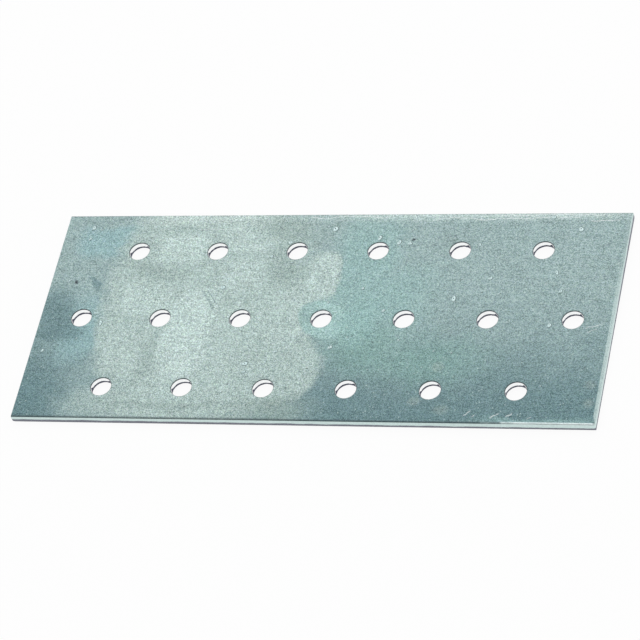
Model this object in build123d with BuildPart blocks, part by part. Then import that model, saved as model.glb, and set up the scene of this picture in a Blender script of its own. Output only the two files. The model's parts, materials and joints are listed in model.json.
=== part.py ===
from build123d import *
from math import cos, pi, sin
import os

# Blank, cut from galvanised steel strip (millimetres)
plate_length = 140.0
plate_width = 60.0
plate_thickness = 2.0

# Sheared edges: where the blade goes in, the metal is drawn down into a wide, shallow roll
side_roll_width = 0.4
side_roll_depth = 0.25
end_roll_width = 0.8
end_roll_depth = 0.35

# Nail holes, punched from the front in rows staggered by half a pitch
hole_diameter = 5.0
hole_pitch = 20.0
row_pitch = 20.0
edge_land = 3.0
pattern_shift_x = 0.5
pattern_shift_y = -1.0

# Section of a punched hole: rolled lip, straight wall, then a flare where the slug broke out
lip_width = 0.2
lip_depth = 0.2
lip_steps = 3
break_out_depth = 0.5
break_out_flare = 0.12

half_length = plate_length / 2
half_width = plate_width / 2
hole_radius = hole_diameter / 2

# Holes and rows on each side of the middle one, as many as leave the land whole at the edges
margin = hole_radius + edge_land
side_holes = int((half_length - margin - abs(pattern_shift_x)) // hole_pitch)
side_rows = int((half_width - margin - abs(pattern_shift_y)) // row_pitch)
full_row = 2 * side_holes + 1


def lip_point(step):
    """A point of the lip's quarter ellipse, from the front face down to the straight wall."""
    angle = pi / 2 * step / lip_steps
    x = hole_radius + lip_width * (1 - sin(angle))
    z = plate_thickness - lip_depth * (1 - cos(angle))
    return x, z


with BuildPart() as punched_hole:
    # Half the section of the hole, turned about the hole's axis
    with BuildSketch(Plane.XZ):
        with BuildLine():
            lip = Polyline([lip_point(step) for step in range(lip_steps + 1)])
            break_out_start = (hole_radius, break_out_depth)
            break_out_end = (hole_radius + break_out_flare, 0)
            Polyline(lip @ 1, break_out_start, break_out_end, (0, 0), (0, plate_thickness), lip @ 0)
        make_face()
    revolve(axis=Axis.Z)

with BuildPart() as plate:
    # Section along the plate: one stroke of the blade cut the right end of this plate and the
    # left end of the next, so the roll is on the front at the right and on the back at the left
    with BuildSketch(Plane.XZ.offset(-half_width)):
        with BuildLine():
            right_roll = EllipticalCenterArc(
                (half_length - end_roll_width, plate_thickness - end_roll_depth),
                end_roll_width, end_roll_depth, start_angle=0, arc_size=90,
            )
            left_roll = EllipticalCenterArc(
                (end_roll_width - half_length, end_roll_depth),
                end_roll_width, end_roll_depth, start_angle=180, arc_size=90,
            )
            Polyline(right_roll @ 1, (-half_length, plate_thickness), left_roll @ 0)
            Polyline(left_roll @ 1, (half_length, 0), right_roll @ 0)
        make_face()
    extrude(amount=plate_width)

    # Section across the plate: the strip was slit from the front, so both long edges roll there
    with BuildSketch(Plane.YZ.offset(-half_length)):
        with BuildLine():
            far_roll = EllipticalCenterArc(
                (half_width - side_roll_width, plate_thickness - side_roll_depth),
                side_roll_width, side_roll_depth, start_angle=0, arc_size=90,
            )
            near_roll = EllipticalCenterArc(
                (side_roll_width - half_width, plate_thickness - side_roll_depth),
                side_roll_width, side_roll_depth, start_angle=90, arc_size=90,
            )
            Line(far_roll @ 1, near_roll @ 0)
            Polyline(near_roll @ 1, (-half_width, 0), (half_width, 0), far_roll @ 0)
        make_face()
    extrude(amount=plate_length, mode=Mode.INTERSECT)

    # Every second row has one hole fewer, which puts its holes between those of the next row
    for row in range(-side_rows, side_rows + 1):
        holes_in_row = full_row - row % 2
        with Locations((pattern_shift_x, pattern_shift_y + row * row_pitch)):
            with GridLocations(hole_pitch, row_pitch, holes_in_row, 1):
                add(punched_hole.part, mode=Mode.SUBTRACT)

plate.part.label = "plate"

os.makedirs("parts", exist_ok=True)
export_step(plate.part, "parts/plate.step")
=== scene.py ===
import json
from math import cos, pi, radians, sin

import bpy
import numpy as np
from mathutils import Matrix, Vector


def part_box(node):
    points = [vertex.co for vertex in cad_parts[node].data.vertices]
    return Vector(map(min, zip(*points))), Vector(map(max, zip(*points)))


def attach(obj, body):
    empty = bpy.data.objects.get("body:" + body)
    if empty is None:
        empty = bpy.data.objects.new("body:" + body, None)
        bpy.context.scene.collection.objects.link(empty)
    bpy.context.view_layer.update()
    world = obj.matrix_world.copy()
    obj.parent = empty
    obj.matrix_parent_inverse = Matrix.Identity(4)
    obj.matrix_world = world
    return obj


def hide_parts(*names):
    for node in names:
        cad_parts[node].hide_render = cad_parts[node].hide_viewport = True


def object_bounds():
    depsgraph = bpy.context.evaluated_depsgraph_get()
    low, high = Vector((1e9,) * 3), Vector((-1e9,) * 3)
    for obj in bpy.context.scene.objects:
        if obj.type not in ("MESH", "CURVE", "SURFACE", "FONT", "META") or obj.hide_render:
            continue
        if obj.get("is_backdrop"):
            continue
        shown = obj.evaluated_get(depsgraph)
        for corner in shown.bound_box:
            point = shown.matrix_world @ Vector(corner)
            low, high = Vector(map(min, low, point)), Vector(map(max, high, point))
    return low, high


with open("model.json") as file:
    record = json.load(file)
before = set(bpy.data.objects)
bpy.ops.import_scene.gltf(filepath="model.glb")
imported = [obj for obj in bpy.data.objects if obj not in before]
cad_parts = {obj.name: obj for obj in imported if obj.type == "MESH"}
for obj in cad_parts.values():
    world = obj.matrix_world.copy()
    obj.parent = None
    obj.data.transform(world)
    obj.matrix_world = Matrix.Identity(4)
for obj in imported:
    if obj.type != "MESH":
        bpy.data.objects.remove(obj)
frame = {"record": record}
cadLow, cadHigh = (np.array(corner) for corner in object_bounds())
metre = 1000.0                                   # all shapes below are worked out in millimetres
plateLow, plateHigh = (np.array(corner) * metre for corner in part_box("plate"))
bores = [mount for mount in frame["record"]["mounts"] if mount["kind"] == "bore"]
holeCentres = np.array([mount["pos_m"][:2] for mount in bores]) * metre
holeRadius = bores[0]["dims"]["r_mm"]
print("frame: plate", plateHigh - plateLow, "mm,", len(bores), "holes")


def ripple(points, wavelength, seed, waves=12):
    # sum of sine waves in random directions with lengths near the given one, scaled to about -1..1
    rng = np.random.default_rng(seed)
    heading = rng.normal(size=(waves, 3))
    heading /= np.linalg.norm(heading, axis=1)[:, None]
    pitch = 2 * pi / (wavelength * rng.uniform(0.6, 1.6, waves))
    phase = rng.uniform(0, 2 * pi, waves)
    total = np.zeros(points.shape[:-1])
    for direction, rate, start in zip(heading, pitch, phase):
        total += np.sin(points @ direction * rate + start)
    return total / np.sqrt(waves / 2) / 2


def gridFaces(rows, columns, closed=True):
    # quads of a rows x columns grid of points, wrapped round the columns when closed
    across = columns if closed else columns - 1
    i, j = np.meshgrid(np.arange(rows - 1), np.arange(across), indexing="ij")
    right = (j + 1) % columns
    corners = [i * columns + j, i * columns + right, (i + 1) * columns + right, (i + 1) * columns + j]
    return np.stack([c.ravel() for c in corners], axis=1)


def weld(points, faces, values, nearest=1e-4):
    # points that fall within the nearest distance become one, and every face is pointed at it
    key = np.round(points / nearest).astype(np.int64)
    _, first, turned = np.unique(key, axis=0, return_index=True, return_inverse=True)
    faces = turned.reshape(-1)[faces]
    whole = (np.sort(faces, axis=1)[:, 1:] != np.sort(faces, axis=1)[:, :-1]).all(axis=1)
    return points[first], faces[whole], values[first]


def facesOut(points, faces):
    # the volume under the faces is positive when they point outwards; otherwise they are turned over
    a, b, c, d = (points[faces[:, k]] for k in range(4))
    volume = np.einsum("ij,ij->", a, np.cross(b, c)) + np.einsum("ij,ij->", a, np.cross(c, d))
    return faces if volume > 0 else faces[:, ::-1]


def makePiece(name, points, faces, values=None, sharpAngle=40):
    # puts the arrays into a mesh in metres, shades it smooth and keeps edges over the angle sharp
    mesh = bpy.data.meshes.new(name)
    mesh.from_pydata((points / metre).tolist(), [], faces.tolist())
    for key, data in (values or {}).items():
        mesh.attributes.new(key, "FLOAT", "POINT").data.foreach_set("value", data.astype(np.float32))
    mesh.shade_smooth()
    mesh.set_sharp_from_angle(angle=radians(sharpAngle))
    mesh.validate()
    piece = bpy.data.objects.new(name, mesh)
    bpy.context.collection.objects.link(piece)
    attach(piece, "root")
    print("made", name, len(faces), "quads")
    return piece


plateForm = dict(
    lattice=0.625,            # spacing of the points shared by neighbouring cells
    band=1.2,                 # strip along the outline that carries the edge's section
    sideRoll=(0.4, 0.25),     # width and depth of the roll along the long edges
    endRoll=(0.8, 0.35),      # the same at the two ends
    lip=(0.2, 0.2),           # width and depth of the rolled lip of a hole
    breakOut=0.5,             # height of the torn lower part of a hole's wall
    flare=0.12,               # how far that part widens at the back
    worn=(50, 186), wornWidth=13, wornClimb=0.4,      # degrees, degrees, share of the wall
    tornEdge=0.55,            # height of the torn lower part of the sheared edges
    tornInset=0.06,           # how far it leans in
    torn=0.035,               # roughness of the torn metal
    ragged=0.12,              # how far its upper border in a hole rises and falls
    buckle=0.015,             # how far the faces are from flat
)


def latticeLines(low, high, anchor, step):
    # a line at each limit, and between them every line that lies whole steps from the anchor
    first = np.ceil((low - anchor) / step + 0.3)
    last = np.floor((high - anchor) / step - 0.3)
    return np.concatenate([[low], anchor + step * np.arange(first, last + 1), [high]])


def bandsBetween(centres, low, high):
    # ranges around sorted centres, that meet halfway and end at the limits
    middles = (centres[1:] + centres[:-1]) / 2
    return list(zip(np.r_[low, middles], np.r_[middles, high]))


def rectangleLoop(xs, ys):
    # the lattice points round a rectangle, anticlockwise from its low corner, without repeats
    bottom = np.c_[xs[:-1], np.full(len(xs) - 1, ys[0])]
    right = np.c_[np.full(len(ys) - 1, xs[-1]), ys[:-1]]
    top = np.c_[xs[:0:-1], np.full(len(xs) - 1, ys[-1])]
    left = np.c_[np.full(len(ys) - 1, xs[0]), ys[:0:-1]]
    return np.concatenate([bottom, right, top, left])


def quarterRoll(width, depth, steps):
    # quarter ellipse from the face down to the wall: how far it stands off the wall, and how deep it is
    angle = np.linspace(0, pi / 2, steps)
    return width * (1 - np.sin(angle)), depth * (1 - np.cos(angle))


def rollInset(down, width, depth):
    # how far a quarter ellipse roll stands in from the wall at a given depth under the face
    level = np.clip(1 - down / depth, 0, 1)
    return width * (1 - np.sqrt(1 - level ** 2))


def punchedCell(border, centre, form, thickness):
    # one profile carried round a hole: from the cell's border over the front face, down through the
    # lip, the straight wall and the torn flare, and out over the back face to the border again.
    # point = border * (1 - share) + (centre + radius * direction) * share
    flatRows, lipRows, wallRows, tearRows, backRows = 7, 7, 4, 5, 5
    firstTorn = flatRows + lipRows + wallRows - 1      # the lowest row of the straight wall
    spoke = border - centre
    direction = spoke / np.linalg.norm(spoke, axis=1)[:, None]
    standOff, down = quarterRoll(*form["lip"], lipRows)
    wall = np.linspace(thickness - form["lip"][1], form["breakOut"], wallRows + 1)[1:]
    tear = np.linspace(form["breakOut"], 0, tearRows + 1)[1:]
    frontShare = 1 - np.linspace(1, 0, flatRows + 1)[:-1] ** 1.4
    backShare = 1 - np.linspace(0, 1, backRows + 1)[1:] ** 1.4
    share = np.r_[frontShare, np.ones(lipRows + wallRows + tearRows), backShare]
    mouth = holeRadius + form["flare"]
    radius = np.r_[np.full(flatRows, holeRadius + form["lip"][0]), holeRadius + standOff,
                   np.full(wallRows, holeRadius), np.linspace(holeRadius, mouth, tearRows + 1)[1:],
                   np.full(backRows, mouth)]
    height = np.r_[np.full(flatRows, thickness), thickness - down, wall, tear, np.zeros(backRows)]
    cut = np.r_[np.zeros(flatRows), np.linspace(0, 0.05, lipRows), 1 - wall / thickness,
                1 - tear / thickness, np.zeros(backRows)]
    rim = centre + radius[:, None, None] * direction
    flat = border * (1 - share[:, None, None]) + rim * share[:, None, None]
    tall = np.broadcast_to(height[:, None, None], flat.shape[:2] + (1,))
    points = np.concatenate([flat, tall], axis=2)
    torn = np.zeros(len(share))
    torn[firstTorn:-backRows] = 1
    torn[-backRows - 1] = 0.4                          # the tear is finer where it meets the back
    rough = ripple(points, 0.9, 5) + 0.6 * ripple(points, 0.35, 6)
    push = form["torn"] * rough * torn[:, None]
    points[..., :2] += push[..., None] * direction
    raggedRows = points[firstTorn:-backRows - 1]
    raggedRows[:, :, 2] += form["ragged"] * ripple(raggedRows * [1, 1, 0], 1.4, 7)
    # the tear climbs higher up the wall at the two places where the punch is worn
    turn = np.degrees(np.arctan2(direction[:, 1], direction[:, 0]))
    worn = sum(np.exp(-(((turn - place + 180) % 360 - 180) / form["wornWidth"]) ** 2)
               for place in form["worn"])
    climb = form["wornClimb"] * worn * (cut > 0.1)[:, None]
    return points, cut[:, None] + climb


def shearedOutline(xs, ys, form, low, high):
    # the edge's section carried round the outline, ring by ring. Every ring lies at one height, so
    # rolls of different size meet on a true mitre. The left end was cut from the other side, so its
    # section is upside down there.
    thickness = high[2] - low[2]
    inner = rectangleLoop(xs, ys)
    sideX = np.where(inner[:, 0] >= xs[-1] - 1e-6, 1, np.where(inner[:, 0] <= xs[0] + 1e-6, -1, 0))
    sideY = np.where(inner[:, 1] >= ys[-1] - 1e-6, 1, np.where(inner[:, 1] <= ys[0] + 1e-6, -1, 0))
    deepest = form["endRoll"][1]
    roll = deepest * (1 - np.cos(np.linspace(0, pi / 2, 9)))
    burnished = np.linspace(deepest, thickness - form["tornEdge"], 5)[1:]
    torn = np.linspace(thickness - form["tornEdge"], thickness - deepest, 3)[1:]
    foot = thickness - roll[::-1][1:]
    down = np.r_[roll, burnished, torn, foot]
    up = thickness - down
    lean = form["tornInset"]

    def inset(fromRoll, size):
        # roll at the struck face, then flush, then leaning in towards the torn edge
        tearing = np.clip((fromRoll - thickness + form["tornEdge"]) / form["tornEdge"], 0, 1)
        return rollInset(fromRoll, *size) + lean * tearing

    side = form["band"] - inset(down, form["sideRoll"])
    right = form["band"] - inset(down, form["endRoll"])
    left = form["band"] - inset(up, form["endRoll"])
    stepX = np.where(sideX[None] > 0, right[:, None], left[:, None]) * sideX
    stepY = side[:, None] * sideY
    points = np.zeros((len(down), len(inner), 3))
    points[..., 0] = inner[:, 0] + stepX
    points[..., 1] = inner[:, 1] + stepY
    points[..., 2] = up[:, None]
    struck = np.where((sideX < 0) & (sideY == 0), up[:, None], down[:, None]) / thickness
    onEdge = np.ones(len(down))
    onEdge[0] = onEdge[-1] = 0
    onEdge[1:5] = [0.0, 0.0, 0.0, 0.02]
    cut = struck * onEdge[:, None]
    rough = np.clip((struck - 1 + form["tornEdge"] / thickness) * 8, 0, 1) * onEdge[:, None]
    flush = (sideX == 0) | (sideY == 0)
    push = form["torn"] * (ripple(points, 1.1, 15) + 0.6 * ripple(points, 0.45, 16) - 1.2) * rough * flush
    points[..., 0] += push * sideX
    points[..., 1] += push * sideY
    first = np.concatenate([inner, np.full((len(inner), 1), thickness)], axis=1)
    last = np.concatenate([inner, np.zeros((len(inner), 1))], axis=1)
    nothing = np.zeros((1, len(inner)))
    return np.concatenate([first[None], points, last[None]]), np.concatenate([nothing, cut, nothing])


def makePlate(form):
    # a cell for each hole, from halfway to its left neighbour to halfway to its right one, and the
    # sheared outline round them all, welded on the points they share. The faces then sink by
    # swell = buckle * (1 + ripple), fading to nothing over the last 8 mm to the edges
    low, high = plateLow, plateHigh
    thickness = high[2] - low[2]
    step, band = form["lattice"], form["band"]
    anchor = holeCentres[0]
    xs = latticeLines(low[0] + band, high[0] - band, anchor[0], step)
    ys = latticeLines(low[1] + band, high[1] - band, anchor[1], step)
    rows = np.unique(np.round(holeCentres[:, 1], 4))
    points, faces, cuts, count = [], [], [], 0

    def keep(grid, cut):
        nonlocal count
        points.append(grid.reshape(-1, 3))
        cuts.append(cut.reshape(-1))
        faces.append(gridFaces(grid.shape[0], grid.shape[1]) + count)
        count += grid.shape[0] * grid.shape[1]

    for rowY, (nearY, farY) in zip(rows, bandsBetween(rows, ys[0], ys[-1])):
        inRow = np.sort(holeCentres[np.abs(holeCentres[:, 1] - rowY) < step][:, 0])
        cellYs = ys[(ys > nearY - 1e-3) & (ys < farY + 1e-3)]
        for holeX, (leftX, rightX) in zip(inRow, bandsBetween(inRow, xs[0], xs[-1])):
            cellXs = xs[(xs > leftX - 1e-3) & (xs < rightX + 1e-3)]
            keep(*punchedCell(rectangleLoop(cellXs, cellYs), np.array([holeX, rowY]), form, thickness))
    inHoles = count
    keep(*shearedOutline(xs, ys, form, low, high))

    cloud, quads, cut = np.concatenate(points), np.concatenate(faces), np.concatenate(cuts)
    cut = np.c_[cut, np.arange(count) < inHoles]
    swell = form["buckle"] * (1 + ripple(cloud * [1, 1, 0], 26, 31))
    inside = np.clip(np.minimum(high[0] - np.abs(cloud[:, 0]), high[1] - np.abs(cloud[:, 1])) / 8, 0, 1)
    cloud[:, 2] -= swell * inside * (cloud[:, 2] / thickness)
    cloud[:, 2] = np.clip(cloud[:, 2], 0, thickness) + low[2]
    cloud, quads, cut = weld(cloud, quads, cut)
    return makePiece("punched_plate", cloud, facesOut(cloud, quads),
                     {"cut": cut[:, 0], "punched": cut[:, 1]})


dropForm = dict(
    places=[                  # x, y, length, width, angle: the ones that stand out
        (-63.0, 26.1, 0.9, 0.7, 60), (-63.2, 22.7, 0.6, 0.5, 20), (-54.2, -2.6, 1.2, 0.6, 95),
        (-67.0, -10.8, 0.7, 0.5, 80), (-25.7, 8.0, 1.0, 0.8, 40), (-1.2, 25.4, 1.3, 0.8, 60),
        (-11.6, 21.4, 0.8, 0.6, 0), (-15.5, 17.3, 0.7, 0.6, 90), (10.3, 22.7, 1.1, 0.7, 80),
        (15.3, 21.3, 1.1, 0.7, 70), (18.0, 21.0, 0.8, 0.6, 30), (9.0, 7.8, 0.6, 0.5, 0),
        (15.2, 1.3, 0.7, 0.5, 45), (-15.3, -14.2, 1.1, 0.8, 10), (-15.2, -16.5, 0.7, 0.5, 0),
        (-8.5, -10.6, 0.6, 0.5, 30), (4.4, -9.3, 0.9, 0.6, 50), (58.5, 25.0, 1.2, 0.8, 120),
        (51.5, 28.6, 0.9, 0.6, 10), (39.2, 10.7, 0.8, 0.6, 0), (39.3, 13.2, 0.5, 0.4, 0),
        (54.7, 12.4, 1.0, 0.6, 115), (56.4, 7.0, 0.8, 0.6, 60), (31.5, 4.8, 1.4, 0.7, 92),
        (55.3, -2.7, 1.0, 0.7, 70), (35.0, 20.6, 0.7, 0.5, 80),
    ],
    grow=1.2,                 # all of them together
    height=0.3,
    stain=(0.1, 0.06, 0.08),  # ring of painted shadow round the drop: its width, and how far it is off centre
    scattered=30,             # small ones strewn over the face
    smallest=0.22, largest=0.5,
)


def makeDrops(form):
    # one profile carried round each drop: a ring lying on the face that carries a painted shadow, then a
    # quarter ellipse up to the crown. x = reach cos u, y = reach sin u, turned by the drop's angle, with
    # a wavy outline
    rng = np.random.default_rng(8)
    places = [tuple(place) for place in form["places"]]
    while len(places) < len(form["places"]) + form["scattered"]:
        spot = rng.uniform(plateLow[:2] + 2, plateHigh[:2] - 2)
        if np.linalg.norm(holeCentres - spot, axis=1).min() > holeRadius + 1.0:
            size = rng.uniform(form["smallest"], form["largest"])
            places.append((*spot, size, size * rng.uniform(0.6, 1), rng.uniform(0, 180)))
    around = 20
    u = np.arange(around) * 2 * pi / around
    climb = np.linspace(0, pi / 2, 7)
    reach = np.r_[0, 1, 1, 1, np.cos(climb)]                      # share of the drop's half length
    skirt = np.r_[0, 1, 1, 0.1, np.zeros(7)]                      # share of the ring's width
    rise = np.r_[-0.12, -0.12, 0.0, 0.012, 0.012 + form["height"] * np.sin(climb)]
    shiftX, shiftY = form["stain"][1:]
    points, faces, drop_shadows = [], [], []
    for number, (x, y, length, width, angle) in enumerate(places):
        wave = 1 + 0.1 * np.sin(2 * u + number) + 0.07 * np.sin(3 * u + 2.3 * number)
        ring = skirt * form["stain"][0] * min(1, width)
        along = (reach * length / 2 * form["grow"] + ring)[:, None] * np.cos(u) * wave
        aside = (reach * width / 2 * form["grow"] + ring)[:, None] * np.sin(u) * wave
        tall = np.where(rise > 0.02, rise * (width / 0.8) ** 0.5, rise)[:, None] + 0 * u
        off = (skirt > 0.5)[:, None]
        turn = radians(angle)
        points.append(np.stack([x + along * cos(turn) - aside * sin(turn) + off * shiftX,
                                y + along * sin(turn) + aside * cos(turn) + off * shiftY,
                                plateHigh[2] + tall], axis=2).reshape(-1, 3))
        faces.append(gridFaces(len(reach), around) + number * around * len(reach))
        drop_shadows.append(np.repeat(np.r_[np.ones(4), 0.7, np.zeros(6)], around))
    cloud, quads = np.concatenate(points), np.concatenate(faces)
    cloud, quads, stain = weld(cloud, quads, np.concatenate(drop_shadows), 1e-5)
    return makePiece("zinc_drops", cloud, facesOut(cloud, quads), {"stain": stain})


class Field:
    # one node output, which sums and products turn into Math nodes
    def __init__(self, tree, socket):
        self.tree, self.socket = tree, socket

    def maths(self, operation, *terms):
        return self.tree.add("ShaderNodeMath", dict(operation=operation), dict(enumerate(terms)))

    def __add__(self, other):
        return self.maths("ADD", self, other)

    def __sub__(self, other):
        return self.maths("SUBTRACT", self, other)

    def __rsub__(self, other):
        return self.maths("SUBTRACT", other, self)

    def __mul__(self, other):
        return self.maths("MULTIPLY", self, other)

    __radd__, __rmul__ = __add__, __mul__


class Tree:
    # the nodes of a material or a world; add() makes any of them: its type, its settings, then its inputs
    def __init__(self, owner):
        self.material = bpy.data.materials.new(owner) if isinstance(owner, str) else owner
        self.material.use_nodes = True
        self.nodes, self.links = self.material.node_tree.nodes, self.material.node_tree.links
        self.nodes.clear()

    def add(self, kind, settings=None, inputs=None, output=0):
        node = self.nodes.new(kind)
        for key, value in (settings or {}).items():
            setattr(node, key, value)
        for key, value in (inputs or {}).items():
            if isinstance(value, Field):
                self.links.new(value.socket, node.inputs[key])
            else:
                node.inputs[key].default_value = value
        return Field(self, node.outputs[output]) if len(node.outputs) else None

    def noise(self, where, size, detail=2.0, roughness=0.5):
        # noise about 0..1 whose lumps are about size millimetres across
        return self.add("ShaderNodeTexNoise", {}, {"Vector": where, "Scale": 1 / size, "Detail": detail,
                                                   "Roughness": roughness})

    def step(self, value, low, high, smooth=True):
        # 0 below low, 1 above high
        kind = "SMOOTHSTEP" if smooth else "LINEAR"
        return self.add("ShaderNodeMapRange", dict(interpolation_type=kind),
                        {"Value": value, "From Min": low, "From Max": high})

    def blend(self, share, first, second):
        # a colour between two colours
        return self.add("ShaderNodeMix", dict(data_type="RGBA"), {0: share, 6: first, 7: second}, 2)

    def shade(self, colour, factor):
        # a colour times a value
        colour = colour if isinstance(colour, Field) else colour[:3]
        return self.add("ShaderNodeVectorMath", dict(operation="SCALE"), {0: colour, "Scale": factor})

    def apart(self, vector):
        node = self.add("ShaderNodeSeparateXYZ", {}, {0: vector}).socket.node
        return [Field(self, socket) for socket in node.outputs]

    def together(self, x, y, z):
        return self.add("ShaderNodeCombineXYZ", {}, {0: x, 1: y, 2: z})

    def rays(self):
        # whether the camera, a mirroring surface or a clear one is looking
        sockets = self.add("ShaderNodeLightPath").socket.node.outputs
        names = ("Is Camera Ray", "Is Glossy Ray", "Is Transmission Ray")
        return [Field(self, sockets[name]) for name in names]

    def millimetres(self):
        place = self.add("ShaderNodeTexCoord", output=3)
        return self.add("ShaderNodeVectorMath", dict(operation="SCALE"), {0: place, "Scale": metre})

    def finish(self, **inputs):
        surface = self.add("ShaderNodeBsdfPrincipled", {}, {key.replace("_", " "): value
                                                            for key, value in inputs.items()})
        self.add("ShaderNodeOutputMaterial", {}, {"Surface": surface})
        return self.material


def rgb(red, green, blue):
    return (red, green, blue, 1.0)


zincLook = dict(
    middle=rgb(0.298, 0.402, 0.402),     # the tone between the patches
    deep=rgb(0.145, 0.235, 0.25),        # darkest film, low down
    dull=rgb(0.44, 0.555, 0.535),        # dull bright zinc
    pale=rgb(0.545, 0.67, 0.65),         # the brightest of it
    teal=rgb(0.28, 0.435, 0.425),
    green=rgb(0.205, 0.35, 0.325),
    film=rgb(0.345, 0.505, 0.49),        # the round film about the middle hole
    blue=rgb(0.27, 0.42, 0.435),
    smoke=rgb(0.27, 0.36, 0.345),
    edge=rgb(0.55, 0.66, 0.64),          # strip that ran along the coil's edge
    sheared=rgb(0.58, 0.71, 0.69),       # burnished by the blade; also a painted highlight on the roll at the right end
    rolled=rgb(0.80, 0.90, 0.90),        # painted highlight on the near roll towards the right end
    punched=rgb(0.93, 0.95, 0.95),       # burnished by the punch
    torn=rgb(0.25, 0.26, 0.31),          # torn steel at the edges, darkened also as painted shade
    burst=rgb(0.10, 0.11, 0.16),         # torn steel in the holes, darkened also as painted shade
    soot=rgb(0.09, 0.12, 0.13),          # painted shade in the lips of the holes and along the near roll
    pit=rgb(0.05, 0.06, 0.07),
    brightness=dict(mottle=0.45, lines=0.25, threads=0.3, grain=0.3, crystals=0.85),
    relief=dict(grain=0.28, crystals=0.3, lines=0.14, mottle=0.2, pits=0.5, scratches=0.3),
    roughness=0.46,                      # of the faces, 0.1 more where they are dull
    wallRoughness=0.30, tornRoughness=0.68,
    dropDull=rgb(0.68, 0.93, 0.93),
    dropBright=rgb(0.84, 1.0, 1.0),
    # painted shadow in the ring round each drop
    ring=rgb(0.13, 0.19, 0.19),
)

# films of zinc laid one over another: tone, strength, how far the border strays, whether the patches
# are round or square, and the patches: x, y, half length, half width, turn in degrees, softness
films = [
    ("middle", 0.7, 1.0, "round", [(-54, -25, 8, 9, 0, 0.8), (-66, 12, 8, 4, 0, 0.8)]),
    ("deep", 0.8, 1.0, "round", [(-69, -24, 9, 13, 0, 0.6), (62, -30, 24, 9, 0, 0.8),
                                 (40, -29, 12, 5, 0, 0.8)]),
    ("blue", 0.75, 0.5, "square", [(-56.5, 21.8, 9.2, 4.4, 0, 0.3), (-59, -4, 4.4, 8, 0, 0.6)]),
    ("deep", 0.8, 0.5, "round", [(-66.5, 0.5, 4.5, 6.5, 15, 0.6), (-65, -5.5, 5.5, 3.2, 0, 0.5),
                                 (-58.5, 9, 2.4, 1.0, -45, 0.7)]),
    ("teal", 0.7, 0.5, "square", [(8.5, 14, 7.5, 14, 0, 0.4), (16, 4, 9, 9, 0, 0.8)]),
    ("green", 0.6, 0.7, "round", [(13.5, -10, 10, 6.5, -15, 0.7), (28, -13, 12, 6, 0, 0.8)]),
    ("dull", 1.0, 0.7, "square", [(-38, 5, 16.5, 26, 0, 0.12), (-24, -3, 21.5, 22, 0, 0.1),
                                  (-21, 18, 15, 12, 0, 0.3)]),
    ("dull", 1.0, 0.5, "round", [(-12.5, -15.5, 16, 12, 0, 0.1), (-30, -25, 24, 6, 0, 0.4)]),
    ("dull", 0.95, 0.25, "square", [(-1.4, 11.4, 4.3, 6.8, 6, 0.12)]),
    ("pale", 0.85, 0.35, "square", [(-31.8, -4.8, 5.6, 13.2, -3, 0.12), (-38.2, 20, 6.6, 4.2, 0, 0.25)]),
    ("pale", 0.6, 0.35, "square", [(-22.5, 23.2, 6, 4.2, 0, 0.35), (-44.5, 4.5, 7, 4.8, 0, 0.4),
                                   (-22, 12, 5.5, 4.5, 0, 0.5), (-1.2, 11.2, 3.6, 6.0, 6, 0.2)]),
    ("pale", 0.3, 0.35, "square", [(-9, 0, 8, 7, 0, 0.5), (-46, -11, 5.5, 6.5, 0, 0.3),
                                   (-29.5, -10, 12, 14, 0, 0.4)]),
    ("smoke", 0.36, 0.5, "round", [(-40, -11, 2.2, 7.4, -12, 0.6), (-11, 15, 3.6, 6.5, 0, 0.7),
                                   (-11, 25.6, 11, 3, 0, 0.5), (-45, 13, 8, 1.6, -8, 0.8),
                                   (-30, -26, 22, 1.0, 0, 0.7)]),
    ("smoke", 0.75, 0.5, "round", [(-4, -27, 7, 4, 0, 0.7)]),
    ("film", 0.92, 0.2, "round", [(1.2, -1.4, 7.0, 5.0, -27, 0.07)]),
    ("teal", 0.8, 0.4, "round", [(9.5, -1.5, 4.6, 6.5, 0, 0.5)]),
    ("edge", 0.7, 0.06, "square", [(34, 31.6, 40, 3.2, 0, 0.5)]),
    ("edge", 0.85, 0.1, "square", [(-34, 30.6, 15, 3.2, 0, 0.5)]),
    ("dull", 0.35, 0.1, "round", [(31.2, -14.5, 1.4, 1.4, 0, 0.3), (27.3, -24, 1.3, 1.1, 0, 0.4),
                                  (67.4, -19.2, 1.2, 1.1, 0, 0.5), (34, -26.3, 1.6, 1.2, 0, 0.6),
                                  (28.5, 22, 1, 0.9, 0, 0.5), (67.8, -24.2, 1.2, 1.1, 0, 0.6)]),
    ("teal", 0.5, 0.3, "square", [(57, -29.3, 13, 0.9, 0, 0.5)]),
    ("pit", 0.85, 0.02, "round", [(-63.5, 9.6, 0.4, 0.6, 20, 0.5), (18.6, 22.2, 0.5, 0.3, 20, 0.5)]),
]

# dark drying lines: from x, y to x, y, and width
dryingLines = [
    (-30.8, 7.6, -26.6, 1.4, 0.5), (-29.4, 7.4, -26.0, 3.0, 0.3), (-60.0, 11.6, -56.4, 8.0, 0.5),
    (-17.5, -28.6, -15.4, -27.6, 0.35), (-16.8, -28.0, -14.6, -28.4, 0.3),
    (69.1, -29.0, 69.6, -29.6, 0.5),
]

# scratches: from x, y to x, y, and width
scratches = [
    (39.3, -28.2, 41.2, -26.6, 0.16), (41.6, -28.4, 42.4, -27.5, 0.14), (45.6, -28.9, 47.9, -27.4, 0.18),
    (49.3, -28.4, 50.9, -26.9, 0.14), (54.0, -28.6, 55.2, -27.6, 0.12), (63.8, -3.6, 67.8, -2.2, 0.12),
    (64.6, -4.6, 67.0, -3.4, 0.1), (-36.0, 25.6, -24.0, 25.8, 0.1), (60.2, 27.5, 67.8, 27.6, 0.14),
    (22.0, 28.3, 58.0, 28.5, 0.1), (-8.0, 29.0, 12.0, 29.1, 0.1), (38.0, 29.3, 66.0, 29.2, 0.12),
]


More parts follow.
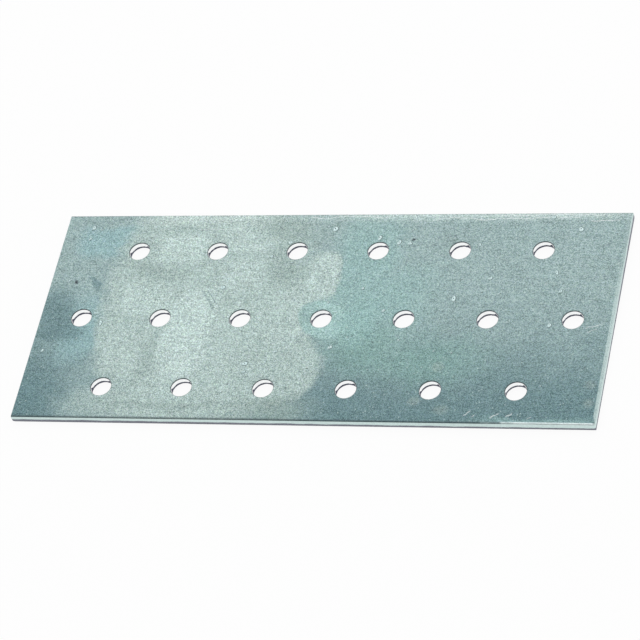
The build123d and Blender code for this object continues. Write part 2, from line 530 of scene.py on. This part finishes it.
def patchMask(tree, where, shape, spots):
    # 1 inside any patch and 0 outside: each is a circle moved, turned and scaled, with
    # distance = sqrt(x^2 + y^2), or a rounded square with distance = (x^4 + y^4)^(1/4)
    total = None
    for x, y, halfX, halfY, turn, soft in spots:
        unit = tree.add("ShaderNodeMapping", dict(vector_type="TEXTURE"), {
            "Vector": where, "Location": (x, y, 0), "Rotation": (0, 0, radians(turn)),
            "Scale": (halfX, halfY, 1000)})
        if shape == "square":
            unit = tree.add("ShaderNodeVectorMath", dict(operation="MULTIPLY"), {0: unit, 1: unit})
        distance = tree.add("ShaderNodeVectorMath", dict(operation="LENGTH"), {0: unit}, 1)
        if shape == "square":
            distance = distance.maths("SQRT", distance)
        one = tree.step(distance, 1 + soft, 1 - soft)
        total = one if total is None else total.maths("MAXIMUM", total, one)
    return total


def scratchMask(tree, where, lines):
    # 1 on the line between two points, fading across its width
    x, y, _ = tree.apart(where)
    total = None
    for startX, startY, endX, endY, width in lines:
        length = float(np.hypot(endX - startX, endY - startY))
        alongX, alongY = (endX - startX) / length, (endY - startY) / length
        along = (x - startX) * alongX + (y - startY) * alongY
        aside = (x - startX) * alongY - (y - startY) * alongX
        off = aside.maths("ABSOLUTE", aside)
        ends = tree.step(along, 0, 0.5) * (1 - tree.step(along, length - 0.5, length))
        one = (1 - tree.step(off, width * 0.3, width)) * ends
        total = one if total is None else total.maths("MAXIMUM", total, one)
    return total


def galvanisedSteel(look):
    # colour = films laid one over another, times 1 + mottle + lines + grain; then pits, scratches and
    # the edges: painted shade and highlights on the rolls, burnished down to the tear line, torn below
    # it, with painted shade darkening the torn part
    tree = Tree("galvanised steel")
    solid = tree.millimetres()
    trueX, y, z = tree.apart(solid)
    # the back carries the same films turned end for end
    front = tree.step(z, 0.98, 1.02, smooth=False)
    x = trueX * (2 * front - 1) + (1 - front) * 9
    place = tree.together(x, y, z)

    # the borders of the patches stray, coarsely and finely
    drift = tree.add("ShaderNodeTexNoise", {}, {"Vector": place, "Scale": 0.13, "Detail": 6.0,
                                                "Roughness": 0.68}, 1)
    drift = tree.add("ShaderNodeVectorMath", dict(operation="SUBTRACT"), {0: drift, 1: (0.5, 0.5, 0.5)})
    cloud = tree.noise(place, 14, 5.0, 0.6)
    low = tree.step(y + (cloud - 0.5) * 22, 12.0, -34.0)
    colour = tree.blend(low, look["middle"], look["deep"])
    dulled = None
    for tone, strength, stray, shape, spots in films:
        moved = tree.add("ShaderNodeVectorMath", dict(operation="MULTIPLY_ADD"),
                         {0: drift, 1: (stray * 16,) * 3, 2: place})
        mask = patchMask(tree, moved, shape, spots)
        colour = tree.blend(mask * strength, colour, look[tone])
        if tone == "dull":
            dulled = mask if dulled is None else dulled.maths("MAXIMUM", dulled, mask)
    nearly = tree.add("ShaderNodeVectorMath", dict(operation="MULTIPLY_ADD"),
                      {0: drift, 1: (3, 3, 3), 2: place})
    colour = tree.blend(scratchMask(tree, nearly, dryingLines) * 0.45, colour, look["deep"])

    # mottling, rolling lines and grain change the brightness, and the grain its tint too
    mottle = tree.noise(place, 4.0, 5.0, 0.7) - 0.5
    lines = tree.noise(tree.together(x * 0.06, y, z), 0.7, 3.0, 0.6) - 0.5
    grain = tree.noise(tree.together(x * 0.45, y, z), 0.42, 2.0, 0.8) - 0.5
    crystals = tree.add("ShaderNodeTexVoronoi", {}, {"Vector": place, "Scale": 5.6}, 1)
    fine = tree.apart(crystals)[0] - 0.5
    threads = tree.noise(tree.together(x * 0.09, y, z), 0.24, 1.0, 0.5) - 0.5
    share = look["brightness"]
    bright = 1 + mottle * share["mottle"] + lines * share["lines"] + threads * share["threads"]
    bright = bright + grain * share["grain"] + fine * share["crystals"]
    colour = tree.shade(colour, bright)
    tint = tree.add("ShaderNodeVectorMath", dict(operation="MULTIPLY_ADD"),
                    {0: crystals, 1: (0.14, 0.1, 0.14), 2: (0.93, 0.95, 0.93)})
    colour = tree.add("ShaderNodeVectorMath", dict(operation="MULTIPLY"), {0: colour, 1: tint})

    # pits and flecks
    cells = tree.add("ShaderNodeTexVoronoi", {}, {"Vector": place, "Scale": 0.55})
    chosen = tree.apart(tree.add("ShaderNodeTexVoronoi", {}, {"Vector": place, "Scale": 0.55}, 1))[0]
    pits = tree.step(cells, 0.17, 0.08) * tree.step(chosen, 0.82, 0.86)
    flecks = tree.step(cells, 0.16, 0.07) * tree.step(chosen, 0.16, 0.12)
    colour = tree.blend(pits * 0.5, colour, look["pit"])
    colour = tree.blend(flecks * 0.45, colour, look["edge"])
    specks = tree.add("ShaderNodeTexVoronoi", {}, {"Vector": place, "Scale": 1.5})
    drawn = tree.apart(tree.add("ShaderNodeTexVoronoi", {}, {"Vector": place, "Scale": 1.5}, 1))[0]
    small = tree.step(specks, 0.3, 0.15)
    colour = tree.blend(small * tree.step(drawn, 0.87, 0.9) * 0.55, colour, look["edge"])
    colour = tree.blend(small * tree.step(drawn, 0.07, 0.05) * 0.5, colour, look["pit"])
    scored = scratchMask(tree, nearly, scratches)
    colour = tree.blend(scored * 0.5, colour, look["punched"])

    # rolled edges: painted shade in the lips of the holes and along the near edge, painted highlights on
    # the near roll towards the right and on the roll at the right end
    cut = tree.add("ShaderNodeAttribute", dict(attribute_name="cut"), output=2)
    punched = tree.add("ShaderNodeAttribute", dict(attribute_name="punched"), output=2)
    nearRoll = tree.step(y, -29.35, -29.65)
    mitre = tree.step(y, -27.3, -29.7) * 0.5
    rightRoll = tree.step(x - mitre, 69.15, 69.45) * (1 - tree.step(y, -8, 30) * 0.8)
    farRight = tree.step(x + mottle * 30, 44, 54)
    # noise that varies how strong the painted highlights on the rolls are
    worn = tree.step(grain + mottle, -0.25, 0.1)
    lip = tree.step(cut, 0.004, 0.02) * punched
    # painted shade: the lips of the holes and the near roll are darkened
    colour = tree.blend(lip * 0.85, colour, look["soot"])
    colour = tree.blend(nearRoll * (1 - farRight) * (1 - rightRoll) * 0.55, colour, look["soot"])
    # painted highlight on the near roll towards the right end
    colour = tree.blend(nearRoll * farRight * (0.6 + worn * 0.4), colour, look["rolled"])
    # painted highlight on the roll at the right end, fading towards the far edge
    colour = tree.blend(rightRoll * (0.35 + worn * 0.4), colour, look["sheared"])

    # cut surfaces: burnished above a wavy line, torn below it; the torn part is darkened also as painted
    # shade
    onCut = tree.step(cut, 0.055, 0.1)
    upright = tree.together(trueX, y, z * 0.15)
    streaks = tree.noise(upright, 0.35, 2.0, 0.6) - 0.5
    along = tree.noise(upright, 5.0, 2.0, 0.5) - 0.5
    rightWall = tree.step(trueX, 69.7, 69.85)
    uneven = along * 0.3 + tree.step(trueX, 60, -60) * 0.14
    uneven = uneven + rightWall * (0.08 + tree.step(y, -15, 25) * 0.2)
    tearLine = cut + streaks * 0.16 + (1 - punched) * uneven
    tornShare = tree.step(tearLine, 0.62, 0.68)
    burnish = tree.shade(tree.blend(punched, look["sheared"], look["punched"]), 1 + streaks * 0.3)
    rags = tree.noise(solid, 0.22, 2.0, 0.6)
    tear = tree.shade(tree.blend(punched, look["torn"], look["burst"]), 0.4 + rags * 1.2)
    colour = tree.blend(onCut, colour, tree.blend(tornShare, burnish, tear))

    # dull where it is pale, a little glossier under the dark film
    rough = look["roughness"] + dulled * 0.1 + grain * 0.2 + mottle * 0.16
    rough = rough + onCut * (look["wallRoughness"] - rough)
    rough = rough + onCut * tornShare * (look["tornRoughness"] - look["wallRoughness"])
    height = look["relief"]
    relief = grain * height["grain"] + fine * height["crystals"] + lines * height["lines"]
    relief = relief + mottle * height["mottle"] - pits * height["pits"] - scored * height["scratches"]
    relief = relief * (1 - onCut) + onCut * (streaks * 0.4 + tornShare * rags * 1.5)
    bump = tree.add("ShaderNodeBump", {}, {"Strength": 0.35, "Distance": 0.00006, "Height": relief})
    metal = 1 - onCut * tornShare * 0.5
    return tree.finish(Base_Color=colour, Roughness=rough, Metallic=metal, Normal=bump)


def zincDrop(look):
    # bright and smooth on the crown, with a painted shadow in the ring round it
    tree = Tree("zinc drop")
    place = tree.millimetres()
    tint = tree.noise(place, 0.35, 2.0)
    stain = tree.add("ShaderNodeAttribute", dict(attribute_name="stain"), output=2)
    colour = tree.blend(tint, look["dropDull"], look["dropBright"])
    # painted shadow in the ring round the drop
    colour = tree.blend(tree.step(stain, 0.1, 0.9), colour, look["ring"])
    return tree.finish(Base_Color=colour, Roughness=0.3 + tint * 0.2, Metallic=0.0)


plate = makePlate(plateForm)
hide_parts("plate")
plate.data.materials.append(galvanisedSteel(zincLook))
drops = makeDrops(dropForm)
drops.data.materials.append(zincDrop(zincLook))
print("finishes set")


studio = dict(
    floorHalf=3.0,
    floorTone=0.9,
    floorLift=0.93,           # share of the floor's own white, for the camera only
    ambient=0.85,             # the room's light on dull surfaces
    ceiling=0.55,             # the ceiling as mirrored by metal
    keyPower=15.0, keySize=2.2, keyFrom=(207, 52, 2.2),     # azimuth, elevation, distance
    sidePower=6.0, sideSize=1.2, sideFrom=(139, 36, 2.2),
)
view = dict(azimuth=29.237, elevation=49.263, roll=22.731, distance=0.7618,
            aim=(-0.47, 0.09, 0.0), lens=184.41)       # aim in millimetres from the origin


def onSphere(azimuth, elevation, distance):
    # azimuth 0 stands in front of the near edge, and it grows towards the right end:
    # x = sin a cos e, y = -cos a cos e, z = sin e, times the distance
    a, e = radians(azimuth), radians(elevation)
    return np.array([sin(a) * cos(e), -cos(a) * cos(e), sin(e)]) * distance


def makeFloor(settings):
    # a square at the height of the plate's back: pale paint, whiter still to the camera, clear from below
    half = settings["floorHalf"]
    corners = np.array([(-half, -half, 0), (half, -half, 0), (half, half, 0), (-half, half, 0)])
    mesh = bpy.data.meshes.new("floor")
    mesh.from_pydata((corners + [0, 0, cadLow[2]]).tolist(), [], [(0, 1, 2, 3)])
    floor = bpy.data.objects.new("floor", mesh)
    bpy.context.collection.objects.link(floor)
    floor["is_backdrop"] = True
    tree = Tree("floor")
    camera, glossy, through = tree.rays()
    paint = tree.add("ShaderNodeBsdfDiffuse", {}, {"Color": rgb(*[settings["floorTone"]] * 3)})
    white = tree.add("ShaderNodeEmission", {}, {"Strength": 1.0})
    seen = camera * settings["floorLift"] + glossy + through
    lit = tree.add("ShaderNodeMixShader", {}, {0: seen, 1: paint, 2: white})
    below = tree.add("ShaderNodeNewGeometry", output="Backfacing")
    clear = tree.add("ShaderNodeBsdfTransparent")
    surface = tree.add("ShaderNodeMixShader", {}, {0: below, 1: lit, 2: clear})
    tree.add("ShaderNodeOutputMaterial", {}, {0: surface})
    mesh.materials.append(tree.material)


def makeRoom(settings):
    # white to the camera all round; mirrored rays see the white low down and the dimmer ceiling above
    world = bpy.data.worlds.new("room")
    bpy.context.scene.world = world
    tree = Tree(world)
    camera, glossy, through = tree.rays()
    _, _, up = tree.apart(tree.add("ShaderNodeTexCoord"))
    white, ambient, ceiling = (tree.add("ShaderNodeBackground", {}, {"Strength": level})
                               for level in (1.0, settings["ambient"], settings["ceiling"]))
    mirrored = tree.add("ShaderNodeMixShader", {}, {0: tree.step(up, 0.1, 0.4), 1: white, 2: ceiling})
    room = tree.add("ShaderNodeMixShader", {}, {0: glossy, 1: ambient, 2: mirrored})
    seen = tree.add("ShaderNodeMixShader", {}, {0: tree.step(camera + through, 0, 1), 1: room, 2: white})
    tree.add("ShaderNodeOutputWorld", {}, {0: seen})


def makeLamp(name, power, size, stand):
    lamp = bpy.data.lights.new(name, "AREA")
    lamp.energy, lamp.size = power, size
    holder = bpy.data.objects.new(name, lamp)
    bpy.context.collection.objects.link(holder)
    holder.location = onSphere(*stand)
    holder.rotation_mode = "QUATERNION"
    holder.rotation_quaternion = Vector(-onSphere(*stand)).to_track_quat("-Z", "Y")


def makeCamera(settings):
    camera = bpy.data.objects.new("camera", bpy.data.cameras.new("camera"))
    bpy.context.collection.objects.link(camera)
    stand = Vector(onSphere(settings["azimuth"], settings["elevation"], settings["distance"]))
    roll = Matrix.Rotation(radians(-settings["roll"]), 3, "Z")
    turn = (-stand).to_track_quat("-Z", "Y").to_matrix() @ roll
    camera.matrix_world = Matrix.Translation(stand + Vector(settings["aim"]) / metre) @ turn.to_4x4()
    camera.data.lens, camera.data.sensor_width = settings["lens"], 36.0
    camera.data.clip_start, camera.data.clip_end = 0.01, 50.0
    bpy.context.scene.camera = camera


makeFloor(studio)
makeRoom(studio)
makeLamp("key", studio["keyPower"], studio["keySize"], studio["keyFrom"])
makeLamp("side", studio["sidePower"], studio["sideSize"], studio["sideFrom"])
makeCamera(view)
bpy.context.scene.view_settings.view_transform = "Standard"
print("studio set")
